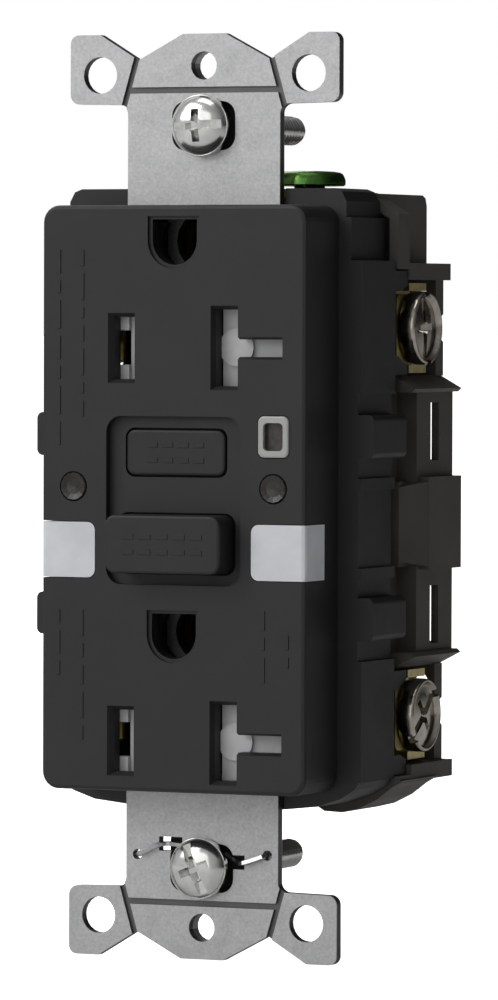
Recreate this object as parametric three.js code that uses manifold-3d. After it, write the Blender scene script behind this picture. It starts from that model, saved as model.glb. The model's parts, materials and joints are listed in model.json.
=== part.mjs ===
// GFCI (ground fault) duplex receptacle, decorator style, 20 A, tamper resistant.
// Millimetres. +X right, +Z up, the face looks along -Y.
// The origin is midway between the two mounting screws, on the rear plane of the steel strap.
import * as THREE from 'three';
import Module from 'manifold-3d';
import { mergeVertices } from 'three/addons/utils/BufferGeometryUtils.js';

const wasm = await Module();
wasm.setup();

// ---------- driving dimensions ----------
const FACE_Y = -9.15;            // front plane of the face
const FACE_HALF_W = 16.2;
const FACE_HALF_H = 32.7;
const FACE_EDGE = 0.45;          // rounding of the face's front edge
const WALL = 1.6;
const END_WALL = 1.1;             // top and bottom walls of the face
const FACE_WALL = 2.2;
const SHOULDER_Y = -0.25;        // front plane of the flange behind the face
const COVER_BACK_Y = 9.0;
const BODY_FRONT_Y = 9.3;
const REAR_Y = 24.4;             // rear plane of the whole device
const REAR_WALL = 1.6;
const STRAP_T = 1.2;
const STRAP_HALF_H = 52.1;
const EAR_HALF_W = 16.6;
const NECK_HALF_W = 9.4;
const SPINE_HALF_W = 4.4;
const MOUNT_Z = 83.34 / 2;       // box mounting screws, 3 9/32 in apart
const PLATE_Z = 96.84 / 2;       // cover plate screws, 3 13/16 in apart
const EAR_HOLE = { x: 12.87, z: 47.46, r: 2.08 };
const LOWER_SHIFT = -43.87;      // from the upper receptacle to the lower one
const SLOT_Z = 16.79;            // centre height of the upper blade slots
const GROUND_Z = 28.75;          // centre of the upper ground hole's round end
const TEST = { z: 5.15, w: 12.1, h: 5.1, front: -8.4 };
const RESET = { z: -5.0, w: 14.1, h: 6.5, front: -12.05 };
const NIGHT_LIGHT = { x0: 9.5, z0: -9.0, z1: -2.6, depth: 5.3 };
const SENSOR = { x: 12.27, z: 1.27, r: 1.6 };
const INDICATOR = { x: 12.33, z: 7.03, w: 3.9, h: 4.8 };
const TERMINAL_Y = 15.7;         // axis of the terminal screws
const TERMINAL_Z = 19.05;
const HEAD_X = 20.3;             // outer face of the terminal screw heads
const POST = { x: 9.8, z: 29.4, r: 2.0, y0: -3.4 };
const GAP = 0.3;

// How far each screw's slot stands from level, in degrees.
const SCREW_TURN = { top: -3, bottom: 68, line: 86, load: 42, ground: 25 };

// ---------- geometry helpers ----------
function solid(geometry) {
  const bare = geometry.clone();
  bare.deleteAttribute('normal');
  bare.deleteAttribute('uv');
  const merged = mergeVertices(bare, 1e-4);
  return new wasm.Manifold(new wasm.Mesh({
    numProp: 3,
    vertProperties: new Float32Array(merged.attributes.position.array),
    triVerts: new Uint32Array(merged.index.array),
  }));
}

function toGeometry(manifold) {
  const mesh = manifold.getMesh();
  const geometry = new THREE.BufferGeometry();
  geometry.setAttribute('position', new THREE.BufferAttribute(mesh.vertProperties, 3));
  geometry.setIndex(new THREE.BufferAttribute(mesh.triVerts, 1));
  geometry.computeVertexNormals();
  return geometry;
}

const join = (...pieces) => pieces.reduce((whole, piece) => whole.add(piece));
const cut = (body, ...tools) => tools.reduce((left, tool) => left.subtract(tool), body);

function box(x0, x1, y0, y1, z0, z1) {
  const geometry = new THREE.BoxGeometry(x1 - x0, y1 - y0, z1 - z0);
  geometry.translate((x0 + x1) / 2, (y0 + y1) / 2, (z0 + z1) / 2);
  return solid(geometry);
}

// The same box on both sides of the X = 0 plane.
const boxPair = (x0, x1, ...rest) => join(box(x0, x1, ...rest), box(-x1, -x0, ...rest));

// A block whose front and back rectangles differ: each is [x0, x1, z0, z1].
function taperedBox(front, back, y0, y1) {
  const geometry = new THREE.BoxGeometry(1, y1 - y0, 1);
  const place = geometry.attributes.position;
  for (let i = 0; i < place.count; i += 1) {
    const [x0, x1, z0, z1] = place.getY(i) < 0 ? front : back;
    place.setX(i, place.getX(i) < 0 ? x0 : x1);
    place.setZ(i, place.getZ(i) < 0 ? z0 : z1);
  }
  geometry.translate(0, (y0 + y1) / 2, 0);
  return solid(geometry);
}

// An X-Z outline pushed along Y, with an optional rounded edge at both ends.
function prism(outline, y0, y1, edge = 0, curveSegments = 3) {
  const geometry = new THREE.ExtrudeGeometry(outline, {
    depth: y1 - y0 - 2 * edge,
    bevelEnabled: edge > 0,
    bevelThickness: edge,
    bevelSize: edge,
    bevelOffset: -edge,
    bevelSegments: 2,
    curveSegments,
  });
  geometry.rotateX(Math.PI / 2);
  geometry.translate(0, y1 - edge, 0);
  return solid(geometry);
}

// A Y-Z outline pushed along X.
function sidePrism(outline, x0, x1, curveSegments = 3) {
  const geometry = new THREE.ExtrudeGeometry(outline, { depth: x1 - x0, bevelEnabled: false, curveSegments });
  geometry.rotateX(Math.PI / 2);
  geometry.rotateZ(Math.PI / 2);
  geometry.translate(x0, 0, 0);
  return solid(geometry);
}

function roundedRect(x0, x1, z0, z1, r) {
  const shape = new THREE.Shape();
  shape.absarc(x1 - r, z1 - r, r, 0, Math.PI / 2);
  shape.absarc(x0 + r, z1 - r, r, Math.PI / 2, Math.PI);
  shape.absarc(x0 + r, z0 + r, r, Math.PI, 1.5 * Math.PI);
  shape.absarc(x1 - r, z0 + r, r, 1.5 * Math.PI, 2 * Math.PI);
  return shape;
}

const polygon = (points) => new THREE.Shape(points.map(([x, z]) => new THREE.Vector2(x, z)));
const mirrorAcross = (body, z) => body.mirror([0, 0, 1]).translate([0, 0, 2 * z]);

// Turned pieces: the profile is [radius, height] from the axis back to the axis.
function turned(profile, segments = 16) {
  return new THREE.LatheGeometry(profile.map(([r, h]) => new THREE.Vector2(r, h)), segments);
}

const discProfile = (r, h0, h1) => [[0, h0], [r, h0], [r, h1], [0, h1]];

function rodX(r, x0, x1, y, z, segments = 14) {
  const geometry = turned(discProfile(r, -x1, -x0), segments);
  geometry.rotateZ(Math.PI / 2);
  geometry.translate(0, y, z);
  return solid(geometry);
}

function rodY(r, y0, y1, x, z, segments = 14) {
  const geometry = turned(discProfile(r, y0, y1), segments);
  geometry.translate(x, 0, z);
  return solid(geometry);
}

function rodZ(r, z0, z1, x, y, segments = 14) {
  const geometry = turned(discProfile(r, z0, z1), segments);
  geometry.rotateX(Math.PI / 2);
  geometry.translate(x, y, 0);
  return solid(geometry);
}

// A round wire along a smooth path.
function wire(path, radius, steps, sides = 6) {
  const section = new THREE.Shape();
  section.absarc(0, 0, radius, 0, 2 * Math.PI);
  return new THREE.ExtrudeGeometry(section, {
    steps, bevelEnabled: false, extrudePath: path, curveSegments: sides / 2,
  });
}

// A helix round the Y axis, from y0 to y1.
class Helix extends THREE.Curve {
  constructor(radius, y0, y1, turns) {
    super();
    Object.assign(this, { radius, y0, y1, turns });
  }

  getPoint(t, target = new THREE.Vector3()) {
    const angle = 2 * Math.PI * this.turns * t;
    const y = this.y0 + (this.y1 - this.y0) * t;
    return target.set(this.radius * Math.cos(angle), y, this.radius * Math.sin(angle));
  }
}

const coil = (radius, y0, y1, turns, gauge) => (
  wire(new Helix(radius, y0, y1, turns), gauge / 2, turns * 8, 4)
);

// ---------- materials ----------
const finish = (color, roughness, metalness) => (
  new THREE.MeshStandardMaterial({ color, roughness, metalness })
);
const facePlastic = () => finish('#2b2b2c', 0.5, 0);
const bodyPlastic = () => finish('#2a2926', 0.55, 0);
const zinc = () => finish('#b9bbbd', 0.4, 1);
const brass = () => finish('#c9b268', 0.35, 1);
const nickel = () => finish('#8d8b84', 0.3, 1);
const copper = () => finish('#b4693a', 0.4, 1);
const springSteel = () => finish('#a8a9ab', 0.35, 1);
const shutterPlastic = () => finish('#c6c8ca', 0.5, 0);
const milkyLens = () => finish('#d9dade', 0.4, 0);
const clearLens = () => finish('#bfc3c4', 0.2, 0);

const object = new THREE.Group();

function add(name, shape, material) {
  const geometry = shape.isBufferGeometry ? shape : toGeometry(shape);
  const mesh = new THREE.Mesh(geometry, material);
  mesh.name = name;
  object.add(mesh);
  return mesh;
}

// ---------- face and cover ----------
const receptacleShifts = { upper: 0, lower: LOWER_SHIFT };

function faceBlock() {
  const outline = roundedRect(-FACE_HALF_W, FACE_HALF_W, -FACE_HALF_H, FACE_HALF_H, 1.9);
  return prism(outline, FACE_Y, SHOULDER_Y + 1, FACE_EDGE);
}

// An outline that is the same on both sides, from its right-hand points, top to bottom.
function mirroredOutline(points) {
  const left = points.map(([x, z]) => [-x, z]).reverse();
  return polygon([...points, ...left]);
}

const FLANGE_EDGE = [
  [15.6, 34.65], [16.5, 34.3], [17.1, 33.2], [17.1, 31.0], [16.1, 30.8], [16.1, -30.9], [19.0, -31.3],
  [18.3, -32.4], [16.5, -33.5], [13.8, -34.4], [9.2, -34.9],
];

// The flange behind the face: bands of different width, each [lowest z, highest z, half width].
const FLANGE_BANDS = [
  [26.5, 31.4, 17.7],
  [11.7, 26.6, 19.1],
  [-18.2, 11.8, 18.6],
  [1.0, 2.3, 19.1],
  [-9.0, -7.7, 19.1],
  [-31.6, -18.1, 19.1],
];
const LATCH_BLOCKS = [[4.5, 9.4], [-15.8, -11.0]];
const LATCH_X = [-21.2, 20.5];

// Ears of the cover in front of each terminal: Y-Z outlines for the ear towards the device's end
// and for the one towards its middle, given for the upper terminal.
const TERMINAL_EARS = [
  [[8.5, 25.5], [12.4, 25.5], [12.4, 23.9], [10.8, 23.3], [8.5, 23.3]],
  [[8.5, 13.8], [12.4, 13.8], [12.4, 14.8], [9.7, 15.9], [8.5, 15.9]],
];
const TERMINAL_MIDDLE = (TERMINAL_Z + TERMINAL_Z + LOWER_SHIFT) / 2;

function terminalEars() {
  const upper = TERMINAL_EARS.map((outline) => sidePrism(polygon(outline), 18.35, 19.1));
  const rightHand = join(...upper, ...upper.map((ear) => mirrorAcross(ear, TERMINAL_MIDDLE)));
  return join(rightHand, rightHand.mirror([1, 0, 0]));
}

function flange() {
  const spine = prism(mirroredOutline(FLANGE_EDGE), SHOULDER_Y, COVER_BACK_Y);
  const bands = FLANGE_BANDS.map(([z0, z1, half]) => box(-half, half, SHOULDER_Y, COVER_BACK_Y, z0, z1));
  const blocks = LATCH_BLOCKS.map(([z0, z1]) => (
    prism(roundedRect(LATCH_X[0], LATCH_X[1], z0, z1, 0.7), SHOULDER_Y, COVER_BACK_Y)
  ));
  return join(spine, ...bands, ...blocks, terminalEars());
}

function groundHole(shift) {
  const hole = (halfW, top, y0, y1) => {
    const shape = new THREE.Shape();
    shape.absarc(0, GROUND_Z + shift, halfW, Math.PI, 2 * Math.PI);
    shape.lineTo(halfW, top + shift);
    shape.lineTo(-halfW, top + shift);
    return prism(shape, y0, y1, 0, 6);
  };
  return join(
    hole(3.15, 31.45, FACE_Y - 1, FACE_Y + 0.4),
    hole(2.72, 31.1, FACE_Y, FACE_Y + 4),
  );
}

function bladeSlots(shift) {
  const z = SLOT_Z + shift;
  const mouth = FACE_Y + 0.7;
  const back = FACE_Y + 4;
  const hot = [-7.5, -4.78, z - 3.5, z + 3.45];
  const upright = [4.95, 7.85, z - 4.2, z + 4.3];
  const leg = [6.5, 13.1, z - 0.95, z + 1.0];
  return join(
    taperedBox([-8.1, -4.7, z - 4.0, z + 3.95], hot, FACE_Y - 0.1, mouth),
    box(hot[0], hot[1], mouth - 0.01, back, hot[2], hot[3]),
    taperedBox([4.55, 7.95, z - 4.7, z + 4.8], upright, FACE_Y - 0.1, mouth),
    box(upright[0], upright[1], mouth - 0.01, back, upright[2], upright[3]),
    taperedBox([6.5, 13.4, z - 1.25, z + 1.3], leg, FACE_Y - 0.1, mouth),
    box(leg[0], leg[1], mouth - 0.01, back, leg[2], leg[3]),
  );
}

function nightLightWindow(side, clearance) {
  const { x0, z0, z1, depth } = NIGHT_LIGHT;
  const outline = roundedRect(x0 + clearance, FACE_HALF_W + 3, z0 + clearance, z1 - clearance, 0.9);
  const window = prism(outline, FACE_Y - 1, FACE_Y + depth - clearance);
  return side > 0 ? window : window.mirror([1, 0, 0]);
}

function postHoles(radius, y0, y1) {
  const rods = [];
  for (const x of [-POST.x, POST.x]) {
    for (const z of [-POST.z, POST.z]) rods.push(rodY(radius, y0, y1, x, z, 14));
  }
  return join(...rods);
}

// Each post leans on the end wall of the face.
function postFeet() {
  const foot = (x, z0, z1) => box(x - POST.r, x + POST.r, POST.y0, COVER_BACK_Y - 0.2, z0, z1);
  const end = FACE_HALF_H - END_WALL + 0.3;
  return [-POST.x, POST.x].flatMap((x) => [foot(x, POST.z, end), foot(x, -end, -POST.z)]);
}

const GROUND_SCREW = { x: 10.2, y: 5.0, headR: 4.1, top: 36.7 };

// The opening in the face round a button.
function buttonHole(spec, corner) {
  const halfW = spec.w / 2 + 0.2;
  const halfH = spec.h / 2 + 0.2;
  return prism(roundedRect(-halfW, halfW, spec.z - halfH, spec.z + halfH, corner), FACE_Y - 1, 0);
}

function frontCover() {
  const inner = FACE_HALF_W - WALL;
  const innerZ = FACE_HALF_H - END_WALL;
  const hollow = join(
    box(-inner, inner, FACE_Y + FACE_WALL, COVER_BACK_Y + 1, -innerZ, innerZ),
    box(-17.0, 17.0, SHOULDER_Y + WALL, COVER_BACK_Y + 1, -30.2, 25.0),
    ...Object.values(receptacleShifts).map((shift) => shutterPocket(SLOT_Z + shift)),
  );
  const strapWay = join(
    box(-NECK_HALF_W - GAP, NECK_HALF_W + GAP, -STRAP_T - GAP, GAP, 30, 40),
    box(-NECK_HALF_W - GAP, NECK_HALF_W + GAP, -STRAP_T - GAP, GAP, -40, -30),
  );
  const groundPocket = join(
    box(2.0, NECK_HALF_W + GAP, 0, COVER_BACK_Y + 1, 33.0, 37),
    box(NECK_HALF_W, 13.7, 1.4, COVER_BACK_Y + 1, 33.0, 37),
  );
  const shell = cut(join(faceBlock(), flange()), hollow);
  const posts = join(postHoles(POST.r, POST.y0, COVER_BACK_Y - 0.2), ...postFeet());
  return cut(
    join(shell, posts),
    strapWay,
    groundPocket,
    box(GROUND_SCREW.x - 2.6, GROUND_SCREW.x + 2.6, GROUND_SCREW.y - 2.6, GROUND_SCREW.y + 2.6, 31.5, 35),
    postHoles(1.35, -2.4, COVER_BACK_Y + 1),
    prism(roundedRect(-8.2, 8.3, -9.6, 9.2, 1.8), FACE_Y - 1, FACE_Y + 1.0),
    buttonHole(TEST, 1.1),
    buttonHole(RESET, 1.3),
    prism(roundedRect(
      INDICATOR.x - INDICATOR.w / 2,
      INDICATOR.x + INDICATOR.w / 2,
      INDICATOR.z - INDICATOR.h / 2,
      INDICATOR.z + INDICATOR.h / 2,
      0.8,
    ), FACE_Y - 1, 0),
    rodY(SENSOR.r + 0.1, FACE_Y - 1, -5, SENSOR.x, SENSOR.z, 24),
    rodY(SENSOR.r + 0.1, FACE_Y - 1, -5, -SENSOR.x, SENSOR.z, 24),
    nightLightWindow(1, 0),
    nightLightWindow(-1, 0),
    ...Object.values(receptacleShifts).flatMap((shift) => [groundHole(shift), bladeSlots(shift)]),
  );
}

// ---------- lenses, sensors and lamps ----------
function nightLightLens(side) {
  const skin = faceBlock().intersect(nightLightWindow(side, 0.1));
  const inside = FACE_HALF_W - 1.9;
  const hollow = side > 0
    ? box(0, inside, FACE_Y + 2.0, 0, -20, 20)
    : box(-inside, 0, FACE_Y + 2.0, 0, -20, 20);
  return cut(skin, hollow);
}

function indicatorLens() {
  const { x, z, w, h } = INDICATOR;
  const outer = roundedRect(x - w / 2 + 0.1, x + w / 2 - 0.1, z - h / 2 + 0.1, z + h / 2 - 0.1, 0.7);
  const dish = roundedRect(x - w / 2 + 0.75, x + w / 2 - 0.75, z - h / 2 + 0.85, z + h / 2 - 0.85, 0.5);
  return cut(prism(outer, FACE_Y - 0.25, FACE_Y + 2.8, 0.2), prism(dish, FACE_Y - 1, FACE_Y + 0.6));
}

function lightSensor() {
  const profile = [[0, FACE_Y + 0.2], [0.9, FACE_Y + 0.1], [1.25, FACE_Y - 0.05], [1.5, FACE_Y - 0.15]];
  profile.push([SENSOR.r, FACE_Y], [SENSOR.r, FACE_Y + 3.2], [0, FACE_Y + 3.2]);
  return turned(profile, 14);
}

// A lamp stands on two long leads that reach the circuit board.
function lamp(x, z, front, radius) {
  const lead = (side) => box(x + side - 0.2, x + side + 0.2, front + 2.5, 10.2, z - 0.2, z + 0.2);
  return join(rodY(radius, front, front + 3, x, z, 10), lead(-0.7), lead(0.7));
}

// ---------- buttons ----------
function button(spec, stemRadius, stemEnd, corner) {
  const outline = (grow) => roundedRect(
    -spec.w / 2 - grow,
    spec.w / 2 + grow,
    spec.z - spec.h / 2 - grow,
    spec.z + spec.h / 2 + grow,
    corner,
  );
  return join(
    prism(outline(0), spec.front, -5.9, 0.3),
    prism(outline(0.5), -6.6, -5.8),
    rodY(stemRadius, -6, stemEnd, 0, spec.z, 16),
  );
}

// ---------- strap ----------
// Right half of the upper end, from the middle tab round the ear to the neck.
const EAR_TOP_Z = STRAP_HALF_H - 0.1;
const NOTCH = { x: 8.1, z: 49.1 };

function strapEndOutline() {
  const right = new THREE.Path();
  right.moveTo(NECK_HALF_W, 31.7);
  right.lineTo(NECK_HALF_W, 43.0);
  right.absarc(NECK_HALF_W + 1.1, 43.0, 1.1, Math.PI, Math.PI / 2, true);
  right.absarc(EAR_HALF_W - 1.1, 45.3, 1.1, 1.5 * Math.PI, 2 * Math.PI);
  right.absarc(EAR_HALF_W - 1.0, EAR_TOP_Z - 1.0, 1.0, 0, Math.PI / 2);
  right.lineTo(12.9, EAR_TOP_Z);
  right.lineTo(NOTCH.x, NOTCH.z);
  right.lineTo(2.6, EAR_TOP_Z);
  const points = right.getPoints(5);
  const mirrored = points.map((p) => new THREE.Vector2(-p.x, p.y)).reverse();
  return new THREE.Shape([...points, ...mirrored]);
}

// A shallow scored line along which a piece of the strap snaps off.
function scoreLine(x0, z0, x1, z1) {
  const length = Math.hypot(x1 - x0, z1 - z0);
  const geometry = new THREE.BoxGeometry(length, 1, 0.7);
  geometry.rotateY(-Math.atan2(z1 - z0, x1 - x0));
  geometry.translate((x0 + x1) / 2, -STRAP_T - 0.5 + 0.4, (z0 + z1) / 2);
  return solid(geometry);
}

const WIRE_HOLES = [[-8.0, -40.4], [8.1, -40.0]];
const WIRE_NOTCHES = [[-5.3, -2.4, -39.9, -38.3], [3.0, 5.3, -41.7, -40.1]];

function strapEnd() {
  const slot = roundedRect(-3.9, 3.9, MOUNT_Z - 2.75, MOUNT_Z + 2.75, 1.6);
  const collar = rodY(2.5, -0.1, 1.3, 0, PLATE_Z, 18);
  return cut(
    join(prism(strapEndOutline(), -STRAP_T, 0), collar),
    prism(slot, -5, 5),
    rodY(1.6, -5, 5, 0, PLATE_Z, 18),
    rodY(EAR_HOLE.r, -5, 5, EAR_HOLE.x, EAR_HOLE.z, 24),
    rodY(EAR_HOLE.r, -5, 5, -EAR_HOLE.x, EAR_HOLE.z, 24),
    scoreLine(NOTCH.x, NOTCH.z + 1, 10.1, 43.2),
    scoreLine(-NOTCH.x, NOTCH.z + 1, -10.1, 43.2),
    scoreLine(-9.2, 45.7, 9.2, 45.7),
  );
}

function mountingStrap() {
  const top = strapEnd();
  const bottom = cut(
    strapEnd().mirror([0, 0, 1]),
    ...WIRE_HOLES.map(([x, z]) => rodY(0.6, -5, 5, x, z, 10)),
    ...WIRE_NOTCHES.map(([x0, x1, z0, z1]) => box(x0, x1, -5, 5, z0, z1)),
  );
  const spine = box(-SPINE_HALF_W, SPINE_HALF_W, -STRAP_T, 0, -32, 32);
  const groundHoles = Object.values(receptacleShifts).map((s) => rodY(3.3, -5, 5, 0, GROUND_Z + s, 16));
  return cut(
    join(top, bottom, spine),
    ...groundHoles,
    rodY(1.6, -5, 5, 0, TEST.z, 16),
    rodY(1.95, -5, 5, 0, RESET.z, 16),
  );
}

// ---------- screws ----------
// A machine screw with a cross recess and a straight slot in its head, which is at the bottom of the
// profile. The crown is the head's outer face, as shares of its radius and height.
const DOMED_CROWN = [[0, 0], [0.5, 0.12], [0.85, 0.45], [1, 0.85]];
const LOW_CROWN = [[0, 0], [0.8, 0.06], [0.95, 0.25], [1, 0.7]];
const RIMMED_CROWN = [[0, 0.16], [0.82, 0.16], [0.88, 0.02], [0.94, 0.02], [1, 0.2]];

function comboScrew(crown, headR, headH, shankR, shankL, tip) {
  const profile = crown.map(([r, h]) => [headR * r, headH * h]);
  profile.push([headR * 0.96, headH], [shankR, headH]);
  profile.push([shankR, headH + shankL - tip], [shankR - tip, headH + shankL], [0, headH + shankL]);
  const slotHalf = headR * 0.13;
  const reach = headR * 0.62;
  const depth = headH * 0.62;
  return cut(
    solid(turned(profile, 24)),
    box(-headR - 1, headR + 1, -1, depth * 0.6, -slotHalf, slotHalf),
    box(-reach, reach, -1, depth, -slotHalf, slotHalf),
    box(-slotHalf, slotHalf, -1, depth, -reach, reach),
  );
}

function mountingScrew(z, turn) {
  const screw = comboScrew(DOMED_CROWN, 3.45, 2.3, 1.72, 25.4, 0.5).rotate([0, turn, 0]);
  return screw.translate([0, -STRAP_T - GAP - 2.3, z]);
}

function screwRetainer(z) {
  return cut(
    prism(roundedRect(-4.6, 4.6, z - 4.2, z + 4.2, 1.4), 0.35, 0.9),
    rodY(1.95, -1, 2, 0, z, 18),
  );
}

function terminalScrew(side, z, turn) {
  const screw = comboScrew(RIMMED_CROWN, 4.3, 2.0, 2.03, 5.6, 0.5).rotate([0, turn, 0]);
  return screw.rotate([0, 0, side > 0 ? 90 : -90]).translate([side * HEAD_X, TERMINAL_Y, z]);
}

function groundScrew() {
  const screw = comboScrew(LOW_CROWN, GROUND_SCREW.headR, 1.7, 1.95, 3.3, 0.3);
  const upright = screw.rotate([0, SCREW_TURN.ground, 0]).rotate([-90, 0, 0]);
  return upright.translate([GROUND_SCREW.x, GROUND_SCREW.y, GROUND_SCREW.top]);
}

function rearScrew(x, z) {
  const profile = [[0, 0], [1.9, 0], [2.0, 0.3], [2.0, 1.3], [1.2, 1.3], [1.2, 23.5], [0, 24.2]];
  const cross = join(box(-1.2, 1.2, -1, 0.9, -0.25, 0.25), box(-0.25, 0.25, -1, 0.9, -1.2, 1.2));
  return cut(solid(turned(profile, 12)), cross).rotate([180, 0, 0]).translate([x, REAR_Y - 0.5, z]);
}

// ---------- terminals ----------
function terminalPlate(side, z) {
  const ear = (z0) => box(15.0, 18.0, 15.4, 20.3, z0, z0 + 0.9);
  const plate = cut(
    join(box(14.6, 15.6, 10.6, 21.2, z - 5.1, z + 5.1), ear(z + 4.2), ear(z - 5.1)),
    rodX(2.2, 10, 20, TERMINAL_Y, z, 16),
  );
  return side > 0 ? plate : plate.mirror([1, 0, 0]);
}

function clampPlate(side, z) {
  const outline = roundedRect(TERMINAL_Y - 4.3, TERMINAL_Y + 4.2, z - 3.85, z + 3.85, 0.8);
  const plate = cut(sidePrism(outline, 17.2, 18.2), rodX(2.2, 10, 20, TERMINAL_Y, z, 16));
  return side > 0 ? plate : plate.mirror([1, 0, 0]);
}

function groundTerminal() {
  return cut(
    join(box(4.9, 13.5, 1.6, 8.6, 33.6, 34.6), box(4.9, 9.0, 0.6, 1.7, 33.3, 34.6)),
    rodZ(2.1, 30, 40, GROUND_SCREW.x, GROUND_SCREW.y, 16),
  );
}

function selfGroundWire() {
  const front = -STRAP_T - 0.6;
  const inSlot = -STRAP_T / 2;
  const [left, right] = WIRE_HOLES;
  const stops = [
    [left[0], 1.6, left[1]],
    [left[0], -0.6, left[1]],
    [left[0] + 0.25, front + 0.15, left[1] + 0.1],
    [left[0] + 0.9, front, left[1] + 0.35],
    [-6.0, front, -39.5],
    [-5.2, front + 0.1, -39.2],
    [-4.5, front + 0.75, -39.1],
    [-3.8, inSlot, -39.15],
    [-2.0, inSlot, -39.3],
    [0, inSlot, -39.33],
    [2.0, inSlot, -39.5],
    [3.7, inSlot, -40.6],
    [4.5, front + 0.75, -40.95],
    [5.2, front + 0.1, -40.95],
    [6.0, front, -40.75],
    [right[0] - 0.9, front, right[1] - 0.35],
    [right[0] - 0.25, front + 0.15, right[1] - 0.1],
    [right[0], -0.6, right[1]],
    [right[0], 1.6, right[1]],
  ];
  const path = new THREE.CatmullRomCurve3(stops.map((p) => new THREE.Vector3(...p)), false, 'centripetal');
  return wire(path, 0.3, 48, 4);
}

// ---------- contacts and shutters ----------
function bladeContact(x, z) {
  const leaf = (offset) => box(x + offset - 0.3, x + offset + 0.3, -1.5, 7.0, z - 3.6, z + 3.6);
  return join(
    leaf(-1.0),
    leaf(1.0),
    box(x - 1.3, x + 1.3, 6.4, 7.2, z - 3.6, z + 3.6),
    box(x - 0.4, x + 0.4, 7.0, 10.2, z - 1.5, z + 1.5),
  );
}

function groundContact(z) {
  const sleeve = cut(rodY(3.8, 1.6, 8.0, 0, z, 16), rodY(2.7, -1, 10, 0, z, 16));
  return cut(sleeve, box(-0.5, 0.5, 2.7, 10, z - 5, z), box(-5, 5, -1, 10, z + 2.1, z + 5));
}

const SHUTTER = { y0: -6.85, y1: -5.4, travel: 2.7, end: 12.35, shoulder: 9.0 };

// Room in the cover for the tongue that slides out from under the T-slot's leg.
function shutterPocket(z) {
  const { y0, y1, travel, end } = SHUTTER;
  return box(FACE_HALF_W - WALL - 1, end + travel + 0.15, y0 - 0.1, y1 + 0.3, z - 1.9, z + 1.9);
}

// A slide that closes both blade slots. Its windows stand one travel to the left of the blades,
// and a round pad stays proud of the recessed part behind the T-slot.
function shutter(shift) {
  const z = SLOT_Z + shift;
  const { y0, y1, travel, end, shoulder } = SHUTTER;
  const recess = cut(
    box(4.4, end + 1, y0 - 1, y0 + 0.45, z - 4.5, z + 4.6),
    rodY(2.1, y0 - 2, y0 + 1, 6.7, z + 0.1, 20),
  );
  return cut(
    join(
      prism(roundedRect(-11.4, shoulder, z - 4.3, z + 5.4, 0.6), y0, y1),
      box(shoulder - 1, end, y0, y1, z - 1.6, z + 1.6),
    ),
    recess,
    box(-7.5 - travel, -5.1 - travel, -9, -3, z - 4.0, z + 4.0),
    box(5.2 - travel, 7.6 - travel, -9, -3, z - 4.8, z + 4.8),
    box(-8.0, -6.5, -9, -3, z - 1.9, z + 1.95),
    box(-6.5, -4.4, -9, y0 + 0.6, z - 4.0, z + 4.0),
  );
}

// The spring that holds a shutter closed, on its right.
function shutterSpring(shift) {
  const geometry = coil(0.7, SHUTTER.shoulder + 0.1, 14.5, 5, 0.3);
  geometry.rotateZ(-Math.PI / 2);
  geometry.translate(0, -6.0, SLOT_Z + shift + 4.1);
  return geometry;
}

// ---------- rear housing ----------
const RIM_X = 14.3;              // side wall inside the terminal chambers
const END_BOX_X = 16.3;          // side walls of the housing's upper end

// Solid bands of the rear housing: [lowest z, highest z, half width, front y].
const BODY_BANDS = [
  [26.3, 32.0, END_BOX_X, BODY_FRONT_Y],
  [25.7, 26.4, 19.3, BODY_FRONT_Y],
  [24.5, 25.8, 19.3, 12.6],
  [12.0, 24.6, RIM_X, BODY_FRONT_Y],
  [13.6, 24.6, 18.4, 22.2],
  [-17.8, 12.2, 17.2, BODY_FRONT_Y],
  [-17.8, 12.2, 19.6, 14.0],
  [-8.3, 2.2, 20.7, 15.0],
  [-30.4, -17.7, RIM_X, BODY_FRONT_Y],
  [-30.4, -19.3, 18.4, 22.2],
  [-31.5, -30.3, 19.7, 12.6],
  [-32.2, -31.4, 19.7, BODY_FRONT_Y],
];

// The bottom end of the housing, from its right-hand corner to the middle, below the terminals:
// the front part, and the narrower part behind it.
const BOTTOM_EDGE = [
  [17.0, -31.5], [20.1, -31.9], [18.6, -32.8], [16.9, -34.1], [14.7, -35.2], [12.6, -35.7], [10.4, -35.6],
  [9.4, -35.0],
];
const BOTTOM_REAR_EDGE = [[15.0, -30.0], [16.9, -31.9], [15.6, -33.9], [9.4, -34.6]];

// The lip round each upper corner: a thin wall that turns in to the top along a slope.
const CORNER_LIP = [
  [19.3, 26.3], [19.3, 31.95], [15.3, 34.3], [15.0, 34.2], [15.0, 33.2], [15.2, 33.1], [18.2, 31.35],
  [18.2, 26.3],
];

function upperEnd() {
  const sideShape = polygon([
    [BODY_FRONT_Y, 26.3], [BODY_FRONT_Y, 34.2], [REAR_Y - 1.2, 34.2], [REAR_Y - 0.35, 33.85], [REAR_Y, 33.0],
    [REAR_Y, 26.3],
  ]);
  const lip = prism(polygon(CORNER_LIP), BODY_FRONT_Y, 12.5);
  const web = prism(polygon(CORNER_LIP.slice(0, 3).concat([[15.3, 26.3]])), 11.7, 12.5);
  const corner = join(lip, web);
  return join(sidePrism(sideShape, -END_BOX_X, END_BOX_X), corner, corner.mirror([1, 0, 0]));
}

// The block in the middle of each side, with a ramp in front for the cover's catch.
function middleBlocks() {
  const ramp = taperedBox([-18.6, 18.6, -7.3, 1.1], [-20.7, 20.7, -7.9, 1.7], 11.3, 15.1);
  return join(ramp, box(-18.6, 18.6, 11.3, 15.1, -7.9, 1.7));
}

// The sloping lips over and under the middle of each side, from the wall out to a sharp edge.
function slopedLips() {
  const lip = (zEdge, zWall) => {
    const under = zEdge - Math.sign(zWall - zEdge) * 0.4;
    return prism(mirroredOutline([[18.0, zWall], [20.7, zEdge], [20.3, under]]), 11.0, REAR_Y);
  };
  return join(lip(12.2, 13.7), lip(-18.0, -19.4));
}

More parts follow.
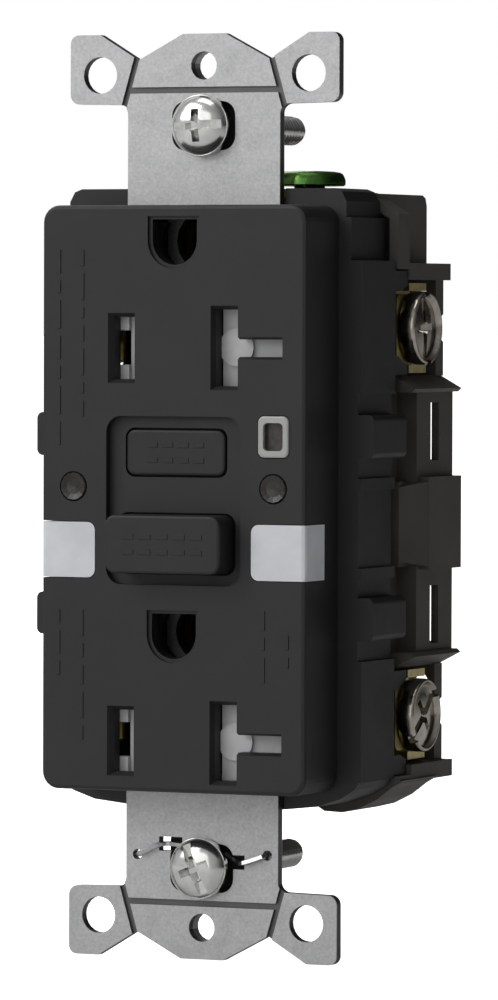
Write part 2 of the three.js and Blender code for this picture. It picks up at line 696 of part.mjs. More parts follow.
// A loop on each side: an outer strap of plastic, cut free by a slot that runs out through the back.
const LATCH_SLOTS = [[4.0, 10.6], [-16.8, -10.2]];

function latchSlots() {
  return join(...LATCH_SLOTS.flatMap(([z0, z1]) => [
    boxPair(16.4, 18.7, 17.0, REAR_Y + 1, z0, z1),
    boxPair(18.5, 21.0, 18.0, 20.4, z0, z1),
  ]));
}

// A tongue on the housing's front edge that reaches into the cover and closes the seam on each side.
const TONGUES = [[15.8, 16.8, -15.5, 10.5], [13.0, 14.1, 12.6, 24.4], [13.0, 14.1, -29.8, -18.0]];

function tongues() {
  return TONGUES.map(([x0, x1, z0, z1]) => boxPair(x0, x1, COVER_BACK_Y - 0.7, BODY_FRONT_Y + 0.1, z0, z1));
}

function rearBody() {
  const bottom = prism(mirroredOutline(BOTTOM_EDGE), BODY_FRONT_Y, 19.4);
  const bottomRear = prism(mirroredOutline(BOTTOM_REAR_EDGE), 19.0, REAR_Y);
  const bands = BODY_BANDS.map(([z0, z1, half, y0]) => box(-half, half, y0, REAR_Y, z0, z1));
  const whole = join(upperEnd(), bottom, bottomRear, ...bands, slopedLips(), middleBlocks(), ...tongues());
  const innerY = REAR_Y - REAR_WALL;
  const tube = (x, z) => rodY(2.9, BODY_FRONT_Y, REAR_Y, x, z, 18);
  const tubes = [-POST.x, POST.x].flatMap((x) => [tube(x, -POST.z), tube(x, POST.z)]);
  const hollow = cut(join(
    box(-12.8, 12.8, 0, innerY, -31.2, 31.6),
    box(-15.6, 15.6, 0, innerY, -16.2, 11.0),
  ), ...tubes);
  const perTerminal = Object.values(receptacleShifts).flatMap((shift) => {
    const z = TERMINAL_Z + shift;
    const wireHole = (x, dz) => rodY(1.25, innerY - 6, REAR_Y + 1, x, z + dz, 10);
    const bothSides = (x) => [
      rodX(2.5, x > 0 ? 10 : -16, x > 0 ? 16 : -10, TERMINAL_Y, z, 18),
      rodY(2.6, 20, REAR_Y + 1, Math.sign(x) * 20.4, z, 18),
      wireHole(x, 3.3),
      wireHole(x, -3.3),
    ];
    return [...bothSides(16.4), ...bothSides(-16.4)];
  });
  const counterbores = [-POST.x, POST.x].flatMap((x) => [-POST.z, POST.z].flatMap((z) => [
    rodY(1.6, 0, REAR_Y + 1, x, z, 16),
    rodY(2.25, REAR_Y - 2.0, REAR_Y + 1, x, z, 18),
  ]));
  const chambers = [[13.7, 24.5], [-30.3, -19.4]].map(([z0, z1]) => boxPair(RIM_X, 30, 0, 22.2, z0, z1));
  return cut(whole, hollow, latchSlots(), ...chambers, ...perTerminal, ...counterbores);
}

// ---------- inside the housing ----------
// The frame slips past the cover's posts through a notch at each corner.
function innerFrame() {
  const window = (x0, x1, z0, z1) => box(x0, x1, -9, 0, z0, z1);
  const perReceptacle = Object.values(receptacleShifts).flatMap((shift) => {
    const z = SLOT_Z + shift;
    return [
      window(-9.2, -3.6, z - 5.0, z + 5.0),
      window(3.8, 11.6, z - 5.0, z + 5.0),
      rodY(3.4, -9, 0, 0, GROUND_Z + shift, 20),
    ];
  });
  return cut(
    prism(roundedRect(-14.2, 14.2, -30.8, 30.8, 1.5), -4.9, -3.9),
    ...perReceptacle,
    window(-6.9, 6.9, TEST.z - 3.4, TEST.z + 3.4),
    window(-7.9, 7.9, RESET.z - 4.1, RESET.z + 4.1),
    window(10.6, 14.0, INDICATOR.z - 2.0, INDICATOR.z + 2.0),
    window(10.0, 14.0, -8.4, -3.2),
    window(-14.0, -10.0, -8.4, -3.2),
    ...[[27.1, 32], [-32, -27.1]].map(([z0, z1]) => boxPair(7.5, 12.1, -9, 0, z0, z1)),
  );
}

const LATCH = { z0: -9.5, z1: 3.0 };
const BOARD = { y0: 10.6, y1: 12.0 };

function circuitBoard() {
  return cut(
    prism(roundedRect(-12.4, 12.4, -26.0, 26.0, 1.0), BOARD.y0, BOARD.y1),
    box(-1.6, 1.6, 9, 14, -0.2, 3.6),
  );
}

function tripLatch() {
  const travelSlot = roundedRect(-1.9, 1.9, RESET.z - 2.0, RESET.z + 3.5, 1.6);
  return cut(
    join(box(-4, 4, 8.3, 9.1, LATCH.z0, LATCH.z1), box(-1.2, 1.2, 9.0, 17.6, 2.0, 3.0)),
    prism(travelSlot, 7, 9.9),
  );
}

const PLUNGER = { y: 16.9, r: 1.5, z0: 3.3, z1: 19.0 };

function plunger() {
  return join(
    rodZ(PLUNGER.r, PLUNGER.z0, PLUNGER.z1, 0, PLUNGER.y, 16),
    rodZ(2.8, 20.2, 21.2, 0, PLUNGER.y, 16),
    rodZ(PLUNGER.r, 18, 20.4, 0, PLUNGER.y, 16),
  );
}

function solenoid() {
  const spool = [
    [1.9, 5.2], [4.3, 5.2], [4.3, 6.2], [3.9, 6.3], [3.9, 15.7], [4.3, 15.8], [4.3, 16.8], [1.9, 16.8],
  ];
  const geometry = turned([...spool, spool[0]], 16);
  geometry.rotateX(Math.PI / 2);
  geometry.translate(0, PLUNGER.y, 0);
  return geometry;
}

function toroid(y0, y1) {
  const middle = -12.0;
  return cut(rodY(6.6, y0, y1, 0, middle, 20), rodY(3.2, y0 - 1, y1 + 1, 0, middle, 20));
}

function plungerSpring() {
  const geometry = coil(2.2, 17.1, 19.9, 3, 0.4);
  geometry.rotateX(Math.PI / 2);
  geometry.translate(0, PLUNGER.y, 0);
  return geometry;
}

// ---------- assembly ----------
add('front_cover', frontCover(), facePlastic());
add('rear_body', rearBody(), bodyPlastic());
add('mounting_strap', mountingStrap(), zinc());
add('inner_frame', innerFrame(), facePlastic());
add('circuit_board', circuitBoard(), finish('#2f5a3a', 0.5, 0));
add('test_button', button(TEST, 1.1, 3.0, 1.0), facePlastic());
add('reset_button', button(RESET, 1.5, 7.5, 1.2), facePlastic());

for (const [label, side] of [['left', -1], ['right', 1]]) {
  const lampX = side * 12.0;
  add(`night_light_lens_${label}`, nightLightLens(side), milkyLens());
  const sensor = add(`light_sensor_${label}`, lightSensor(), finish('#3a3d38', 0.2, 0));
  sensor.position.set(side * SENSOR.x, 0, SENSOR.z);
  add(`night_light_led_${label}`, lamp(lampX, -5.8, -6.6, 1.2), milkyLens());
}
add('indicator_lens', indicatorLens(), clearLens());
add('indicator_led', lamp(INDICATOR.x, INDICATOR.z, -6.0, 1.1), finish('#a33a30', 0.3, 0));

for (const [label, side] of [['top', 1], ['bottom', -1]]) {
  add(`mounting_screw_${label}`, mountingScrew(side * MOUNT_Z, SCREW_TURN[label]), zinc());
  add(`screw_retainer_${label}`, screwRetainer(side * MOUNT_Z), finish('#1f1e1c', 0.8, 0));
}
add('ground_screw', groundScrew(), finish('#2f6b3c', 0.4, 1));
add('ground_terminal', groundTerminal(), brass());
add('self_ground_wire', selfGroundWire(), springSteel());

for (const [level, shift] of Object.entries(receptacleShifts)) {
  const end = level === 'upper' ? 'line' : 'load';
  const z = TERMINAL_Z + shift;
  for (const [pole, side] of [['hot', -1], ['neutral', 1]]) {
    add(`terminal_screw_${end}_${pole}`, terminalScrew(side, z, SCREW_TURN[end]), nickel());
    add(`terminal_plate_${end}_${pole}`, terminalPlate(side, z), brass());
    add(`clamp_plate_${end}_${pole}`, clampPlate(side, z), brass());
    add(`blade_contact_${level}_${pole}`, bladeContact(side * 6.35, SLOT_Z + shift), brass());
  }
  add(`ground_contact_${level}`, groundContact(GROUND_Z + shift), brass());
  add(`shutter_${level}`, shutter(shift), shutterPlastic());
  add(`shutter_spring_${level}`, shutterSpring(shift), springSteel());
}

const testSpring = coil(1.9, -5.4, -1.6, 4, 0.4);
testSpring.translate(0, 0, TEST.z);
add('test_spring', testSpring, springSteel());
const resetSpring = coil(2.4, -5.4, -1.6, 4, 0.4);
resetSpring.translate(0, 0, RESET.z);
add('reset_spring', resetSpring, springSteel());

add('trip_latch', tripLatch(), springSteel());
add('solenoid_coil', solenoid(), copper());
add('solenoid_plunger', plunger(), springSteel());
add('plunger_spring', plungerSpring(), springSteel());
add('sense_coil', toroid(12.6, 16.6), copper());
add('neutral_fault_coil', toroid(17.0, 21.0), copper());
add('varistor', rodX(4.0, 9.2, 11.6, 17.2, 3.0, 16), finish('#3f6fa8', 0.5, 0));
add('capacitor', rodZ(2.8, -8.0, 3.0, -10.4, 16.4, 20), finish('#33363a', 0.4, 0));
add('control_chip', box(8.2, 12.0, 12.3, 13.7, -11.0, -5.5), finish('#222222', 0.4, 0));
for (const [row, z] of [['upper', POST.z], ['lower', -POST.z]]) {
  for (const [label, side] of [['left', -1], ['right', 1]]) {
    add(`housing_screw_${row}_${label}`, rearScrew(side * POST.x, z), zinc());
  }
}

export default object;
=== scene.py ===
import json
import math

import bmesh
import bpy
from mathutils import Matrix, Vector


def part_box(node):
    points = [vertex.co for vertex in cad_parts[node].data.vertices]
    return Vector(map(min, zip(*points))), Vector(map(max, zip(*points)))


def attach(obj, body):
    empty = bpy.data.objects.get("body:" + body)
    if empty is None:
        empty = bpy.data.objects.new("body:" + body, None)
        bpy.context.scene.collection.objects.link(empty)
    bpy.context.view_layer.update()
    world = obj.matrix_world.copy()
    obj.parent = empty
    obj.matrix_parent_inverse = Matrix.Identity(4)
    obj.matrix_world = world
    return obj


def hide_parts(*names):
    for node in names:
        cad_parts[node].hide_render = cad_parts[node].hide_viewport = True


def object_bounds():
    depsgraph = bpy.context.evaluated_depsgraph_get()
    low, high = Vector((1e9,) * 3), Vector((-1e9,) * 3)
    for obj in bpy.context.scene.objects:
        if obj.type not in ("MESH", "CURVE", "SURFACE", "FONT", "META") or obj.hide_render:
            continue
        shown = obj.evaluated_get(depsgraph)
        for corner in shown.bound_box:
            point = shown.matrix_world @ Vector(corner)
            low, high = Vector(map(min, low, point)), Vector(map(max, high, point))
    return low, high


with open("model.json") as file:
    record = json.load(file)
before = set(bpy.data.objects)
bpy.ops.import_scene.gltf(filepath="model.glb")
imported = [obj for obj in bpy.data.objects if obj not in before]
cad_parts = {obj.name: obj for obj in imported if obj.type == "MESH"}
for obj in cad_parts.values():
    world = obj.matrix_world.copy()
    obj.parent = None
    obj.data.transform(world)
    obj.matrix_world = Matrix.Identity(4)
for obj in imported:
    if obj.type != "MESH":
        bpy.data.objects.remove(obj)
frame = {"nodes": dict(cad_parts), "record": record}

MM = 0.001
CAD_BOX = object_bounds()
NODES = frame["nodes"]
SLOT_OF = {entry["node"]: entry["material_slot"] for entry in frame["record"]["subparts"]}
BODY_OF = {node: body for body, nodes in frame["record"]["behaviour"]["bodies"].items() for node in nodes}
scene = bpy.context.scene
POLES = ("hot", "neutral")
ENDS = ("line", "load")

# Planes of the device, in millimetres.
FACE_FRONT = -9.15
TEST_Z = 5.15
RESET_Z = -5.0
STRAP_FRONT = -1.2
STRAP_BACK = 0.0
MOUNT_Z = 41.67                      # height of the mounting screws above and below the middle
HEAD_X = 20.3                        # outer face of the terminal screws

# Front and back of the raised marks: each stands a little proud of its surface and is sunk into it.
TEST_MARKS = (-8.48, -8.2)
RESET_MARKS = (-12.12, -11.9)
FACE_MARKS = (-9.25, -9.0)

# How far each screw's slot is turned, in degrees.
MOUNT_TURN = {"top": 3, "bottom": -68}
TERMINAL_TURN = {"line": 94, "load": 40}
GROUND_TURN = 25

# Rounding of the CAD nodes' edges, in millimetres.
EDGE_MM = {
    "front_cover": 0.12,
    "rear_body": 0.16,
    "mounting_strap": 0.1,
    "test_button": 0.12,
    "reset_button": 0.12,
}
SMALL_EDGE_MM = 0.06
SHARP_ANGLE = math.radians(35)


# ---------- shader helpers ----------
class Shader:
    """One node material: a Principled shader and short calls that feed its sockets."""

    def __init__(self, name, **sockets):
        self.material = bpy.data.materials.new(name)
        self.material.use_nodes = True
        self.tree = self.material.node_tree
        self.tree.nodes.clear()
        self.bsdf = self.node("ShaderNodeBsdfPrincipled")
        output = self.node("ShaderNodeOutputMaterial")
        self.link(self.bsdf.outputs["BSDF"], output.inputs["Surface"])
        for socket, value in sockets.items():
            self.bsdf.inputs[socket.replace("_", " ")].default_value = value
        place = self.node("ShaderNodeTexCoord")
        scale = self.node("ShaderNodeMapping")
        scale.inputs["Scale"].default_value = (1000, 1000, 1000)
        self.link(place.outputs["Object"], scale.inputs["Vector"])
        self.millimetres = scale.outputs["Vector"]
        self.height = None

    def node(self, kind, **settings):
        made = self.tree.nodes.new(kind)
        for key, value in settings.items():
            setattr(made, key, value)
        return made

    def link(self, source, target):
        self.tree.links.new(source, target)

    def stretched(self, scale):
        mapping = self.node("ShaderNodeMapping")
        mapping.inputs["Scale"].default_value = scale
        self.link(self.millimetres, mapping.inputs["Vector"])
        return mapping.outputs["Vector"]

    def noise(self, per_mm, detail=3.0, roughness=0.55, vector=None, distortion=0.0):
        made = self.node("ShaderNodeTexNoise")
        made.inputs["Scale"].default_value = per_mm
        made.inputs["Detail"].default_value = detail
        made.inputs["Roughness"].default_value = roughness
        made.inputs["Distortion"].default_value = distortion
        self.link(vector or self.millimetres, made.inputs["Vector"])
        return made.outputs["Fac"]

    def ramp(self, source, *stops):
        made = self.node("ShaderNodeValToRGB")
        elements = made.color_ramp.elements
        while len(elements) < len(stops):
            elements.new(0.5)
        for element, (position, color) in zip(elements, stops):
            element.position = position
            element.color = (*color, 1) if isinstance(color, tuple) else (color, color, color, 1)
        self.link(source, made.inputs["Fac"])
        return made.outputs["Color"]

    def span(self, source, low, high):
        made = self.node("ShaderNodeMapRange")
        made.inputs["To Min"].default_value = low
        made.inputs["To Max"].default_value = high
        self.link(source, made.inputs["Value"])
        return made.outputs["Result"]

    def depth(self, front_mm, back_mm):
        """0 in front of one plane across Y, rising to 1 at a second plane behind it."""
        split = self.node("ShaderNodeSeparateXYZ")
        self.link(self.millimetres, split.inputs["Vector"])
        made = self.node("ShaderNodeMapRange")
        made.inputs["From Min"].default_value = front_mm
        made.inputs["From Max"].default_value = back_mm
        self.link(split.outputs["Y"], made.inputs["Value"])
        return made.outputs["Result"]

    def mix(self, factor, a, b):
        made = self.node("ShaderNodeMix", data_type="RGBA")
        for socket, value in (("Factor", factor), ("A", a), ("B", b)):
            slots = [s for s in made.inputs if s.name == socket and s.enabled]
            if hasattr(value, "is_linked"):
                self.link(value, slots[0])
            elif isinstance(value, tuple):
                slots[0].default_value = (*value, 1)
            else:
                slots[0].default_value = value
        return next(s for s in made.outputs if s.enabled)

    def color(self, source):
        self.link(source, self.bsdf.inputs["Base Color"])
        return self

    def rough(self, source, low, high):
        self.link(self.span(source, low, high), self.bsdf.inputs["Roughness"])
        return self

    def bump(self, source, depth_mm, strength=1.0):
        made = self.node("ShaderNodeBump")
        made.inputs["Strength"].default_value = strength
        made.inputs["Distance"].default_value = depth_mm * MM
        self.link(source, made.inputs["Height"])
        if self.height is not None:
            self.link(self.height, made.inputs["Normal"])
        self.height = made.outputs["Normal"]
        self.link(self.height, self.bsdf.inputs["Normal"])
        return self


def moulded(name, dark, light, rough, grain_mm=0.006):
    """Moulded plastic: a fine spark-eroded grain, faint flow mottling and a few handling marks."""
    s = Shader(name, IOR=1.48)
    flow = s.noise(0.12, detail=4, distortion=0.6)
    s.color(s.ramp(flow, (0.3, dark), (0.7, light)))
    smudge = s.noise(0.35, detail=5, roughness=0.6)
    s.rough(smudge, rough - 0.06, rough + 0.08)
    s.bump(s.noise(7.0, detail=2), grain_mm)
    s.bump(s.noise(1.1, detail=2), grain_mm * 1.2, 0.6)
    return s


def zinc_plate(name, dark, light, groove_shade, rough=0.46):
    """Zinc plated sheet: fine mottling, rolling direction, scuffs, and painted shade darkening the cut
    edges and scored lines.
    """
    s = Shader(name, Metallic=1.0)
    grain = s.noise(2.6, detail=8, roughness=0.75)
    clouds = s.noise(0.3, detail=6, roughness=0.7, distortion=0.8)
    tone = s.ramp(s.mix(0.3, grain, clouds), (0.32, dark), (0.68, light))
    # Painted shade: faces lying between the sheet's front and back planes, its cut edges and the walls of
    # the scored grooves, take the dark third colour.
    painted_groove_shade = s.ramp(s.depth(STRAP_FRONT, STRAP_BACK), (0.07, 0.0), (0.17, 1.0), (0.86, 1.0), (0.95, 0.0))
    s.color(s.mix(painted_groove_shade, tone, groove_shade))
    s.rough(s.noise(0.8, detail=5), rough - 0.08, rough + 0.14)
    s.bump(s.noise(1.6, detail=5, vector=s.stretched((1.0, 1.0, 0.35))), 0.02, 0.5)
    s.bump(s.noise(4.0, detail=4, roughness=0.7), 0.02, 0.8)
    return s


def metal(name, dark, light, rough, per_mm=0.8, scuff=0.006):
    """Plain plated or drawn metal with cloudy tarnish and fine scuffs."""
    s = Shader(name, Metallic=1.0)
    s.color(s.ramp(s.noise(per_mm, detail=5, roughness=0.6), (0.3, dark), (0.72, light)))
    s.rough(s.noise(2.0, detail=4), max(0.05, rough - 0.07), rough + 0.12)
    s.bump(s.noise(5.0, detail=3), scuff, 0.6)
    return s


def lens(name, dark, light, rough):
    """Cast light pipe or lens plastic with faint clouding."""
    s = Shader(name, IOR=1.5)
    s.color(s.ramp(s.noise(0.3, detail=3), (0.3, dark), (0.7, light)))
    s.rough(s.noise(1.2, detail=3), rough - 0.05, rough + 0.08)
    s.bump(s.noise(3.0, detail=2), 0.003, 0.5)
    return s


def dished_lens(name, rim, floor, rough):
    """A clear cap over a lamp: a light grey rim that is a painted reflection, and painted shade in the
    dish, dull brown and darker with depth.
    """
    s = Shader(name, IOR=1.5)
    # Painted shade in the dish, mottled at random between half and full strength of the floor colour; the
    # front rim's light grey is a painted reflection, and the mix below falls from it to the shade with
    # depth.
    shade_mottle = s.noise(1.4, detail=4, roughness=0.6)
    inside_painted_shade = s.ramp(shade_mottle, (0.3, tuple(c * 0.5 for c in floor)), (0.7, floor))
    s.color(s.mix(s.depth(FACE_FRONT + 0.05, FACE_FRONT + 0.45), rim, inside_painted_shade))
    s.rough(s.noise(1.2, detail=3), rough - 0.05, rough + 0.1)
    s.bump(s.noise(2.0, detail=3), 0.02, 0.6)
    return s


def winding(name, dark, light, per_mm):
    """Enamelled wire laid in close turns, with painted shade between the turns."""
    s = Shader(name, Metallic=1.0)
    waves = s.node("ShaderNodeTexWave", wave_type="BANDS", bands_direction="Z")
    waves.inputs["Scale"].default_value = per_mm
    s.link(s.millimetres, waves.inputs["Vector"])
    # Painted shade and highlight: the colour follows the bands' height, dark in the grooves between turns
    # and light on their crowns.
    s.color(s.ramp(waves.outputs["Fac"], (0.2, dark), (0.8, light)))
    s.rough(s.noise(1.0), 0.25, 0.45)
    s.bump(waves.outputs["Fac"], 0.08)
    return s


def fibre_board(name, dark, light, rough):
    """Pressed or laminated sheet with short flecks."""
    s = Shader(name)
    s.color(s.ramp(s.noise(2.5, detail=6, roughness=0.7), (0.3, dark), (0.7, light)))
    s.rough(s.noise(1.5), rough - 0.1, rough + 0.1)
    s.bump(s.noise(4.0, detail=4), 0.02, 0.7)
    return s


MATERIALS = {
    "face_plastic": moulded("face_plastic", (0.0095,) * 3, (0.0125,) * 3, 0.52),
    "body_plastic": moulded("body_plastic", (0.05, 0.047, 0.041), (0.064, 0.061, 0.053), 0.55, 0.012),
    # The third colour is painted shade for the strap's cut edges and scored grooves.
    "zinc_steel": zinc_plate("zinc_steel", (0.36, 0.362, 0.365), (0.58, 0.583, 0.588), (0.14, 0.14, 0.14)),
    "brass": metal("brass", (0.5, 0.4, 0.16), (0.74, 0.63, 0.33), 0.3),
    "terminal_screw": metal("terminal_screw", (0.2, 0.185, 0.15), (0.46, 0.44, 0.4), 0.16, 0.5),
    "green_screw": metal("green_screw", (0.02, 0.1, 0.03), (0.05, 0.2, 0.07), 0.24, 0.5),
    "white_lens": lens("white_lens", (0.6, 0.61, 0.64), (0.68, 0.69, 0.72), 0.4),
    # The light grey rim is a painted reflection; the dark brown is painted shade in the dish.
    "clear_lens": dished_lens("clear_lens", (0.4, 0.4, 0.39), (0.075, 0.065, 0.058), 0.2),
    "sensor_lens": lens("sensor_lens", (0.014, 0.011, 0.009), (0.032, 0.026, 0.021), 0.24),
    "led": lens("led", (0.2, 0.02, 0.015), (0.4, 0.05, 0.03), 0.2),
    "shutter_plastic": lens("shutter_plastic", (0.5, 0.505, 0.51), (0.64, 0.645, 0.65), 0.42),
    "spring_steel": metal("spring_steel", (0.4, 0.4, 0.41), (0.62, 0.62, 0.63), 0.25),
    # The dark colour is painted shade between the turns; the light one is a painted highlight on their
    # crowns.
    "copper_winding": winding("copper_winding", (0.25, 0.09, 0.03), (0.65, 0.3, 0.13), 1.2),
    "board": fibre_board("board", (0.01, 0.07, 0.03), (0.02, 0.11, 0.05), 0.4),
    "fibre": fibre_board("fibre", (0.004, 0.004, 0.004), (0.01, 0.009, 0.008), 0.75),
    "component": moulded("component", (0.02, 0.04, 0.1), (0.03, 0.06, 0.14), 0.4),
}


# ---------- carried-over CAD nodes ----------
def paint(obj, material):
    obj.data.materials.clear()
    obj.data.materials.append(material)


def round_edges(obj, width_mm, clamp=True):
    """Rounds the sharp edges and smooths the rest."""
    edge = obj.modifiers.new("edge", "BEVEL")
    edge.width = width_mm * MM
    edge.segments = 2
    edge.limit_method = "ANGLE"
    edge.angle_limit = SHARP_ANGLE
    edge.use_clamp_overlap = clamp
    edge.harden_normals = True
    for polygon in obj.data.polygons:
        polygon.use_smooth = True


# Painted shade: the ground and blade contacts inside the housing get a near-black brass instead of their
# slot's metal, for the shade they lie in.
CONTACT_PAINTED_SHADE = metal("contact_painted_shade", (0.02, 0.014, 0.005), (0.06, 0.042, 0.014), 0.5).material

for node_name, node in NODES.items():
    inside_painted_shade = node_name.startswith(("ground_contact", "blade_contact"))
    paint(node, CONTACT_PAINTED_SHADE if inside_painted_shade else MATERIALS[SLOT_OF[node_name]].material)
    round_edges(node, EDGE_MM.get(node_name, SMALL_EDGE_MM), clamp=False)


# ---------- screws ----------
SCREW_METAL = metal("screw_metal", (0.62, 0.62, 0.6), (0.86, 0.86, 0.84), 0.16, 0.6, 0.004).material
DARK_NICKEL = metal("dark_nickel", (0.3, 0.27, 0.23), (0.6, 0.56, 0.5), 0.13, 0.5, 0.006).material
GREEN_ZINC = metal("green_zinc", (0.04, 0.15, 0.03), (0.2, 0.38, 0.09), 0.2, 0.45, 0.02).material


def lathe(profile, segments):
    """A closed turned mesh round the Z axis from (radius, height) points, in millimetres."""
    mesh = bmesh.new()
    rings = []
    for radius, height in profile:
        if radius < 1e-6:
            rings.append([mesh.verts.new((0, 0, height * MM))])
            continue
        ring = []
        for i in range(segments):
            a = 2 * math.pi * i / segments
            ring.append(mesh.verts.new((radius * math.cos(a) * MM, radius * math.sin(a) * MM, height * MM)))
        rings.append(ring)
    for low, high in zip(rings, rings[1:]):
        for i in range(segments):
            j = (i + 1) % segments
            corners = [low[i % len(low)], low[j % len(low)], high[j % len(high)], high[i % len(high)]]
            mesh.faces.new(list(dict.fromkeys(corners)))
    bmesh.ops.recalc_face_normals(mesh, faces=mesh.faces)
    return mesh


def wedge(length, width, depth, taper, turn=0.0):
    """A driver recess wing: a long block from the origin down Z that narrows as it goes in."""
    mesh = bmesh.new()
    top, low = 2.0, -depth
    corners = []
    for z, share in ((top, 1 + taper * top / depth), (low, 1 - taper)):
        for x, y in ((-1, -1), (1, -1), (1, 1), (-1, 1)):
            half_x = length / 2 * share
            half_y = width / 2 * share
            corners.append(mesh.verts.new((x * half_x * MM, y * half_y * MM, z * MM)))
    for face in ((3, 2, 1, 0), (4, 5, 6, 7), (0, 1, 5, 4), (1, 2, 6, 5), (2, 3, 7, 6), (3, 0, 4, 7)):
        mesh.faces.new([corners[i] for i in face])
    bmesh.ops.recalc_face_normals(mesh, faces=mesh.faces)
    bmesh.ops.rotate(mesh, verts=mesh.verts, matrix=Matrix.Rotation(turn, 3, "Z"))
    return mesh


def to_object(name, mesh):
    data = bpy.data.meshes.new(name)
    mesh.to_mesh(data)
    mesh.free()
    obj = bpy.data.objects.new(name, data)
    scene.collection.objects.link(obj)
    return obj


def carve(body, cutters):
    """Cuts the recesses out of a head and keeps the result as plain mesh."""
    for cutter in cutters:
        step = body.modifiers.new("cut", "BOOLEAN")
        step.operation = "DIFFERENCE"
        step.solver = "EXACT"
        step.object = cutter
    done = bpy.data.meshes.new_from_object(body.evaluated_get(bpy.context.evaluated_depsgraph_get()))
    body.modifiers.clear()
    body.data = done
    for cutter in cutters:
        bpy.data.objects.remove(cutter)
    return body


# Crowns: the outer face of a head from its centre to its rim, as (radius share, depth in mm).
DOME = [(0, 0), (0.2, 0.03), (0.4, 0.13), (0.58, 0.29), (0.72, 0.5), (0.84, 0.78), (0.93, 1.13)]
DOME += [(0.98, 1.5)]
RIM = [(0, 0.42), (0.3, 0.44), (0.55, 0.5), (0.74, 0.6), (0.82, 0.6), (0.86, 0.45), (0.885, 0.12)]
RIM += [(0.91, 0.0), (0.945, 0.0), (0.975, 0.1), (0.995, 0.32)]
LOW = [(0, 0), (0.4, 0.03), (0.7, 0.09), (0.86, 0.2), (0.93, 0.36), (0.965, 0.6)]


def thread(radius, start, length, pitch=0.794, depth=0.28, rows_per_turn=8, around=24):
    """Rings of a shank whose radius winds up and down along a helix."""
    rings = []
    count = int(length / pitch * rows_per_turn)
    for row in range(count + 1):
        height = start + length * row / count
        ring = []
        for i in range(around):
            a = 2 * math.pi * i / around
            phase = (height / pitch - i / around) % 1.0
            fade = min(1.0, (length - length * row / count) / pitch)
            r = (radius - depth * abs(2 * phase - 1)) * (0.8 + 0.2 * fade)
            ring.append((r * math.cos(a) * MM, r * math.sin(a) * MM, -height * MM))
        rings.append(ring)
    return rings


def add_thread(mesh, rings):
    loops = [[mesh.verts.new(point) for point in ring] for ring in rings]
    for low, high in zip(loops, loops[1:]):
        for i in range(len(low)):
            j = (i + 1) % len(low)
            mesh.faces.new((low[j], low[i], high[i], high[j]))
    mesh.faces.new(loops[0])
    mesh.faces.new(list(reversed(loops[-1])))


def combo_screw(name, crown, head_r, head_h, shank_r, shank_l, material, recess=1.0):
    """A headed screw with a straight slot and a cross recess; the head looks along +Z from the origin."""
    profile = [(r * head_r, -d) for r, d in crown]
    profile += [(head_r, -head_h * 0.62), (head_r, -head_h + 0.15), (head_r - 0.18, -head_h), (0, -head_h)]
    body = to_object(name, lathe(profile, 96))
    slot = to_object("slot", wedge(head_r * 2.4, 1.05, 0.8 * recess, 0.05))
    cutters = [slot]
    for turn in (0, math.pi / 2):
        cutters.append(to_object("wing", wedge(head_r * 1.15, 0.95, 1.45 * recess, 0.42, turn)))
    cutters.append(to_object("cone", wedge(head_r * 0.5, head_r * 0.5, 1.3 * recess, 0.6, math.pi / 4)))
    carve(body, cutters)
    whole = bmesh.new()
    whole.from_mesh(body.data)
    add_thread(whole, thread(shank_r, head_h - 0.1, shank_l))
    whole.to_mesh(body.data)
    whole.free()
    round_edges(body, SMALL_EDGE_MM)
    paint(body, material)
    return body


def place_screw(obj, at_mm, outward, up, turn_deg):
    """Stands the head's outer face at a point, looking outward, its slot turned from the up direction."""
    z = Vector(outward)
    y = Vector(up)
    turned = Matrix.Rotation(math.radians(turn_deg), 3, z)
    y = turned @ y
    x = y.cross(z)
    frame3 = Matrix((x, y, z)).transposed()
    obj.matrix_world = Matrix.Translation(Vector(at_mm) * MM) @ frame3.to_4x4()


def build_screws():
    for end, side in (("top", 1), ("bottom", -1)):
        node_name = f"mounting_screw_{end}"
        low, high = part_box(node_name)
        screw = combo_screw(
            f"screw_{end}", DOME, head_r=3.45, head_h=2.3, shank_r=1.7, shank_l=25.2,
            material=SCREW_METAL, recess=1.05,
        )
        place_screw(screw, (0, low[1] / MM, side * MOUNT_Z), (0, -1, 0), (0, 0, 1), MOUNT_TURN[end])
        settle(screw, node_name)
    for end in ENDS:
        for pole, side in zip(POLES, (-1, 1)):
            node_name = f"terminal_screw_{end}_{pole}"
            low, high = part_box(node_name)
            middle = (low + high) / 2 / MM
            screw = combo_screw(
                f"screw_{end}_{pole}", RIM, head_r=4.18, head_h=2.0, shank_r=2.0, shank_l=5.4,
                material=DARK_NICKEL, recess=1.1,
            )
            at = (side * HEAD_X, middle[1], middle[2])
            place_screw(screw, at, (side, 0, 0), (0, 0, 1), TERMINAL_TURN[end])
            settle(screw, node_name)
    low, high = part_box("ground_screw")
    middle = (low + high) / 2 / MM
    screw = combo_screw(
        "screw_ground", LOW, head_r=4.1, head_h=1.7, shank_r=1.9, shank_l=3.1,
        material=GREEN_ZINC, recess=0.9,
    )
    place_screw(screw, (middle[0], middle[1], high[2] / MM), (0, 0, 1), (0, 1, 0), GROUND_TURN)
    settle(screw, "ground_screw")


def settle(obj, node_name):
    """Rides a visual piece on the CAD node's body, in its place."""
    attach(obj, BODY_OF[node_name])
    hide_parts(node_name)


build_screws()


